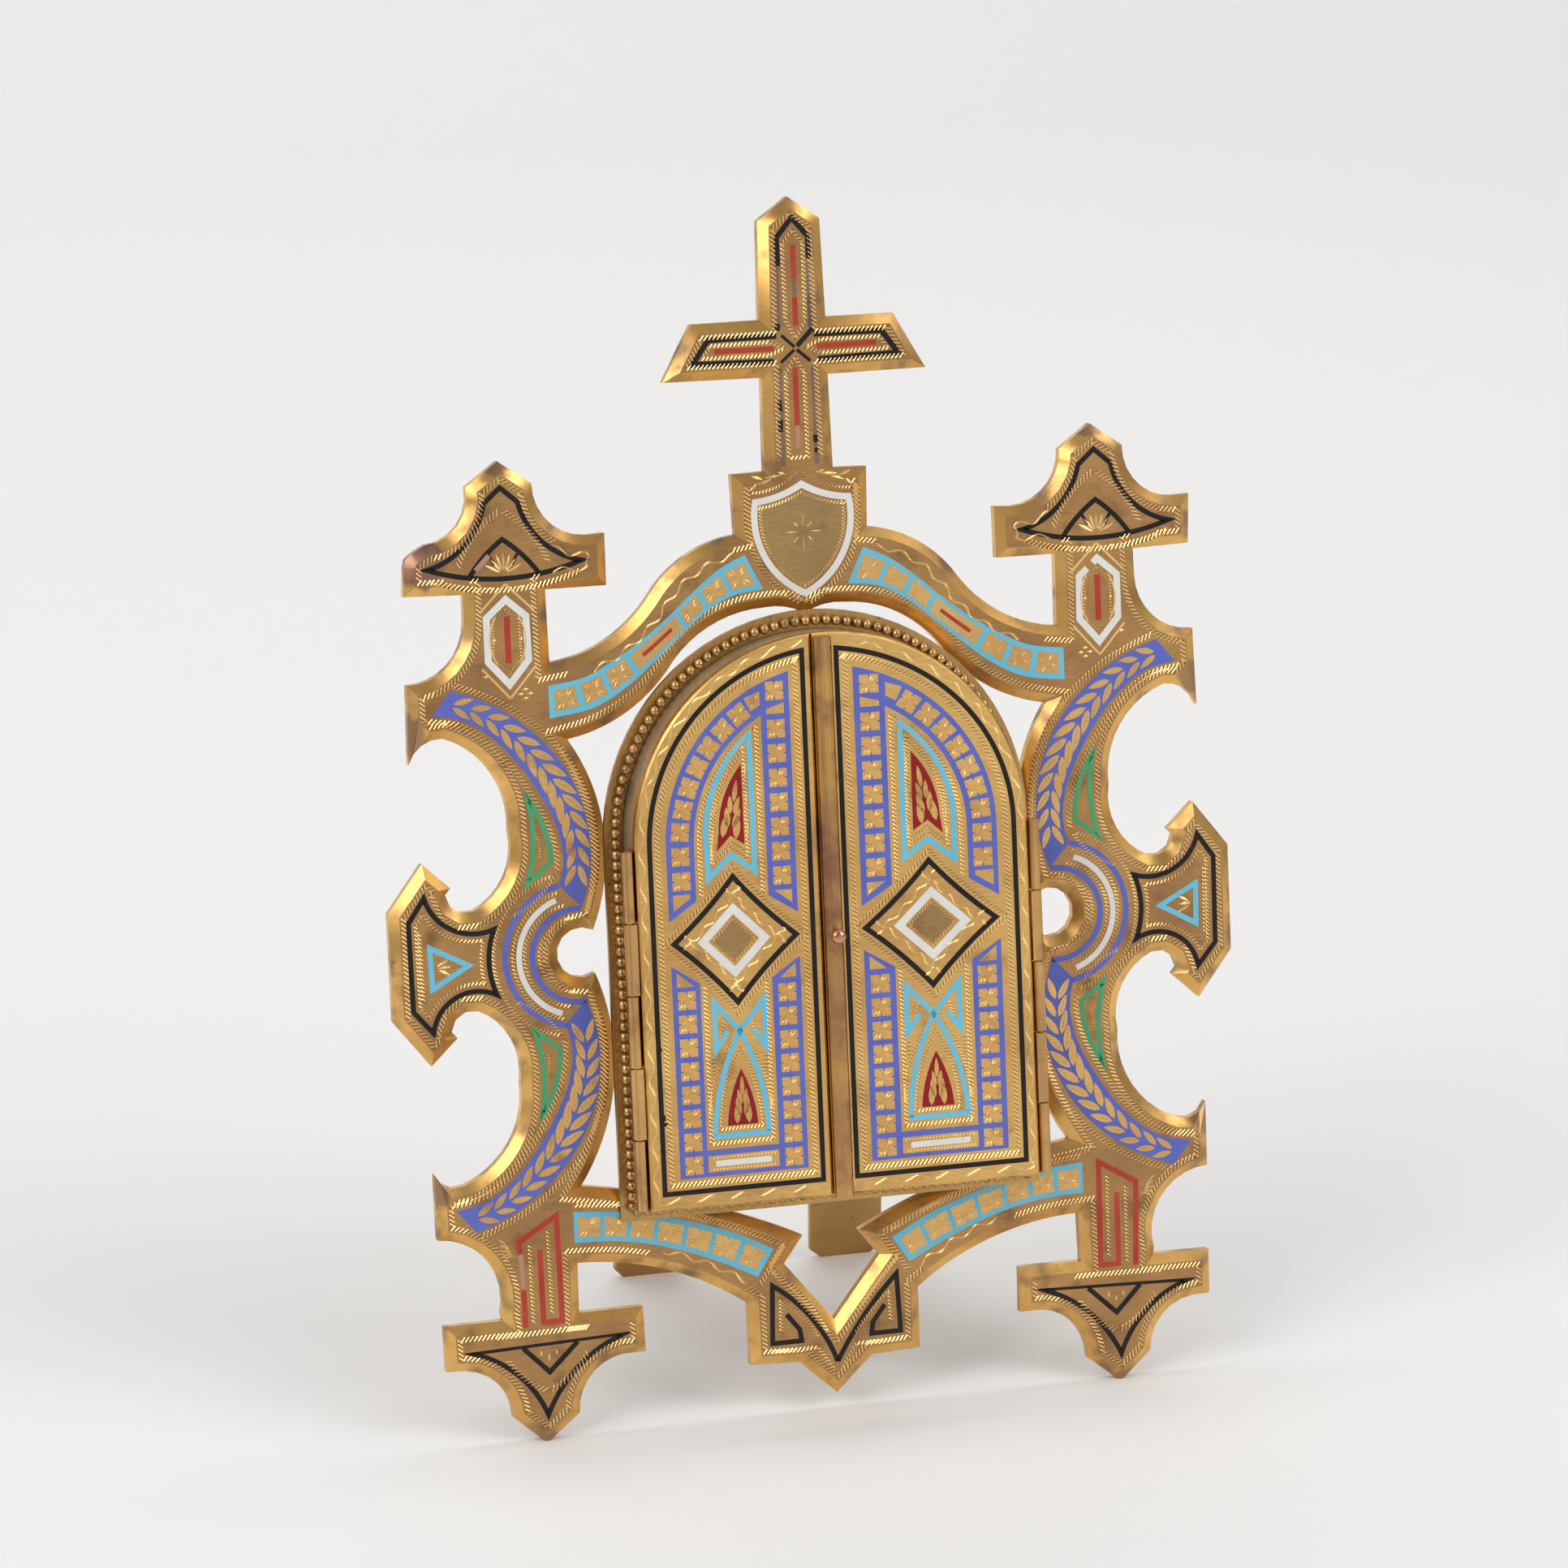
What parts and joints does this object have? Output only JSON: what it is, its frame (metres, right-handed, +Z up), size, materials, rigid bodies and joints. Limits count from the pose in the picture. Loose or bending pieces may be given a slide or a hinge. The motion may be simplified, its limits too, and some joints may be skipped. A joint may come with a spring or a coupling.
{
  "type": "standing icon",
  "caption": "Standing icon of gilt bronze with flush coloured enamel: an openwork plate, an arched case with hinged doors over a domed picture, and a folding leg.",
  "frame": {"origin": "middle of the footprint, on the floor", "axes": "+Z up, +X to the viewer's right, -Y towards the viewer"},
  "size_m": [0.2, 0.109, 0.2762],
  "materials": {
    "gilt": "worn brushed gilding",
    "dark_gilt": "tarnished gilding",
    "brass": "dull brass",
    "porcelain": "glossy glaze",
    "enamel": "polished enamel"
  },
  "bodies": {
    "frame": {"frame_plate": "gilt", "back_plate": "dark_gilt", "bead_border": "gilt", "case_band": "dark_gilt", "sight_frame": "gilt", "porcelain_plaque": "porcelain", "leg_bracket": "brass", "leg_pin": "brass", "knuckle_left_1": "brass", "knuckle_left_3": "brass", "knuckle_left_5": "brass", "hinge_pin_left": "brass", "knuckle_right_1": "brass", "knuckle_right_3": "brass", "knuckle_right_5": "brass", "hinge_pin_right": "brass"},
    "left_door": {"door_left": "gilt", "knuckle_left_2": "brass", "knuckle_left_4": "brass"},
    "right_door": {"door_right": "gilt", "astragal": "gilt", "knob": "gilt", "knuckle_right_2": "brass", "knuckle_right_4": "brass"},
    "leg": {"leg": "brass"}
  },
  "joints": [
    {"name": "left_door_hinge", "type": "hinge", "parent": "frame", "child": "left_door", "pos_m": [-0.0479, -0.04457, 0.09598], "axis": [0, -0.1513, -0.9885], "range_deg": [0, 165]},
    {"name": "right_door_hinge", "type": "hinge", "parent": "frame", "child": "right_door", "pos_m": [0.0479, -0.04457, 0.09598], "axis": [0, 0.1513, 0.9885], "range_deg": [0, 165]},
    {"name": "leg_fold", "type": "hinge", "parent": "frame", "child": "leg", "pos_m": [0.006, -0.01543, 0.16441], "axis": [-1, 0, 0], "range_deg": [0, 30]}
  ]
}
